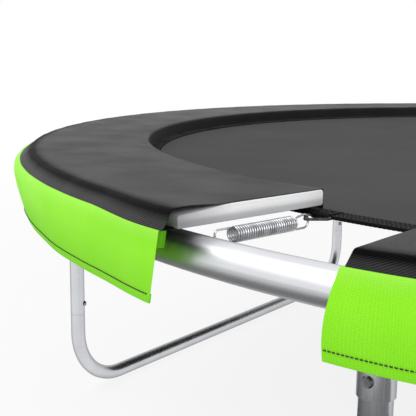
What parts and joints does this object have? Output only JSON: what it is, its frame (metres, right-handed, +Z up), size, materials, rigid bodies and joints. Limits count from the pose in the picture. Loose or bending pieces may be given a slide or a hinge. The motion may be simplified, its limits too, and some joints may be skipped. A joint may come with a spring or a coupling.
{
  "type": "trampoline",
  "caption": "Round garden trampoline on U-shaped legs, with a sprung mat and a padded edge cover left open over one spring.",
  "frame": {"origin": "centre of the ring, on the floor under it", "axes": "+Z up; the cover is open towards -Y, where the first pair of legs behind the opening are at azimuths -91 and -31 degrees"},
  "size_m": [2.476, 2.476, 0.6205],
  "materials": {
    "galvanised_tube": "bright galvanised",
    "zinc_screw": "zinc plated",
    "spring_wire": "galvanised spring wire",
    "foam": "closed-cell polyethylene foam",
    "cover_cloth": "coated woven cover, satin",
    "skirt_cloth": "coated woven cloth, bright green, satin",
    "webbing": "woven webbing, matt",
    "mat_mesh": "woven mesh, matt",
    "black_rod": "black coated"
  },
  "bodies": {
    "frame": {"ring_section_1": "galvanised_tube", "ring_section_2": "galvanised_tube", "ring_section_3": "galvanised_tube", "ring_section_4": "galvanised_tube", "ring_section_5": "galvanised_tube", "ring_section_6": "galvanised_tube", "leg_socket_1": "galvanised_tube", "leg_socket_2": "galvanised_tube", "leg_socket_3": "galvanised_tube", "leg_socket_4": "galvanised_tube", "leg_socket_5": "galvanised_tube", "leg_socket_6": "galvanised_tube", "leg_tube_1": "galvanised_tube", "leg_tube_2": "galvanised_tube", "leg_tube_3": "galvanised_tube", "leg_tube_4": "galvanised_tube", "leg_tube_5": "galvanised_tube", "leg_tube_6": "galvanised_tube", "foot_tube_1": "galvanised_tube", "foot_tube_2": "galvanised_tube", "foot_tube_3": "galvanised_tube", "ring_screws": "zinc_screw", "socket_screws": "zinc_screw", "leg_screws": "zinc_screw", "spring_open": "spring_wire", "springs": "spring_wire", "foam_pad_1": "foam", "foam_pad_2": "foam", "foam_pad_3": "foam", "foam_pad_4": "foam", "foam_pad_5": "foam", "foam_pad_6": "foam", "pad_underside": "cover_cloth", "pad_cover": "cover_cloth", "pad_skirt": "skirt_cloth", "pad_straps": "webbing"},
    "mat": {"jumping_mat": "mat_mesh", "mat_edge_webbing": "webbing", "ring_loops": "webbing", "v_rings": "black_rod"}
  },
  "joints": [
    {"name": "mat_bounce", "type": "slide", "parent": "frame", "child": "mat", "axis": [0, 0, 1], "range_m": [-0.15, 0], "stiffness_N_per_m": 5000, "springref_m": 0.02, "deforming": ["spring_open", "springs"]}
  ]
}
